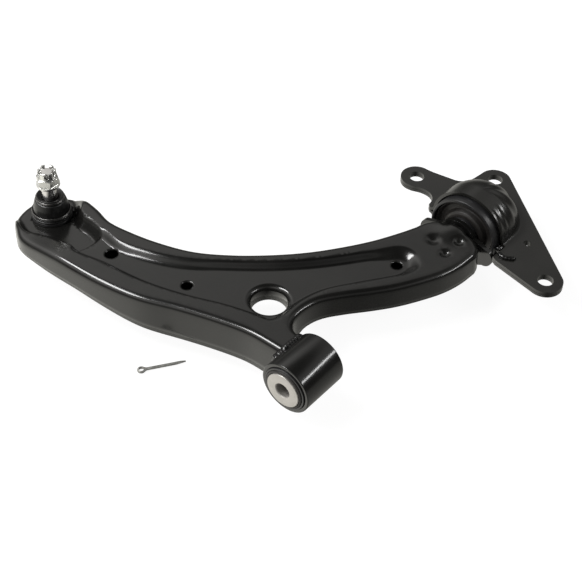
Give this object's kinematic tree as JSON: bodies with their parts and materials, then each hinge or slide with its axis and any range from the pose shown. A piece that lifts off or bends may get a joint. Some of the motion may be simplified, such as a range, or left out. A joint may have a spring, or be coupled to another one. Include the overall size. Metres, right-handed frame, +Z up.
{
  "type": "suspension control arm",
  "caption": "Pressed steel lower control arm with a ball joint, a bush in an eyelet and a bush in a three-eared bracket.",
  "frame": {"origin": "middle of the bottom of the object's box, so that the object stands on z = 0", "axes": "+X inboard, from the ball joint to the pivot line; +Y along the pivot line, from the front bush to the rear bush; +Z up, along the ball stud"},
  "size_m": [0.4516, 0.4084, 0.0979],
  "materials": {
    "black_coat": "gloss black dip coat over pressed steel",
    "black_steel": "satin black coated machined steel",
    "rubber": "matte black moulded rubber",
    "bare_steel": "turned bare steel",
    "zinc": "bright zinc plate",
    "seat_plastic": "natural bearing plastic"
  },
  "bodies": {
    "arm": {"arm_upper_shell": "black_coat", "arm_lower_shell": "black_coat", "front_eyelet": "black_coat", "front_bush_sleeve": "black_steel", "front_bush_rubber": "rubber", "rear_pin": "black_steel", "rear_pin_flange": "black_coat", "rear_bush_core": "black_steel", "ball_housing": "black_steel", "housing_cap": "black_steel", "boot_lower_ring": "black_steel"},
    "front_sleeve": {"front_bush_core": "bare_steel"},
    "rear_bracket": {"bracket_upper": "black_coat", "bracket_lower": "black_coat", "rear_bush_ring": "black_steel", "rear_bush_rubber": "rubber"},
    "joint_seat": {"ball_seat": "seat_plastic", "dust_boot": "rubber"},
    "stud_tilt": {"boot_upper_ring": "black_steel"},
    "stud": {"ball_stud": "bare_steel", "castle_nut": "zinc"},
    "cotter": {"cotter_pin": "zinc"}
  },
  "joints": [
    {"name": "front_bush_twist", "type": "hinge", "parent": "arm", "child": "front_sleeve", "pos_m": [0.11234, -0.13728, 0.0404], "axis": [0, 1, 0], "range_deg": [-20, 20], "stiffness_Nm_per_rad": 20},
    {"name": "rear_bush_twist", "type": "hinge", "parent": "arm", "child": "rear_bracket", "pos_m": [0.11234, 0.11572, 0.0404], "axis": [0, 1, 0], "range_deg": [-20, 20], "stiffness_Nm_per_rad": 40},
    {"name": "stud_lean_direction", "type": "hinge", "parent": "arm", "child": "joint_seat", "pos_m": [-0.19866, -0.13728, 0.0334], "axis": [0, 0, 1], "continuous": true},
    {"name": "stud_lean", "type": "hinge", "parent": "joint_seat", "child": "stud_tilt", "pos_m": [-0.19866, -0.13728, 0.0334], "axis": [1, 0, 0], "range_deg": [-22, 22], "deforming": ["dust_boot"]},
    {"name": "stud_spin", "type": "hinge", "parent": "stud_tilt", "child": "stud", "pos_m": [-0.19866, -0.13728, 0.0334], "axis": [0, 0, 1], "continuous": true},
    {"name": "cotter_lift", "type": "slide", "parent": "arm", "child": "cotter", "axis": [0, 0, 1], "range_m": [0, 0.015]}
  ]
}
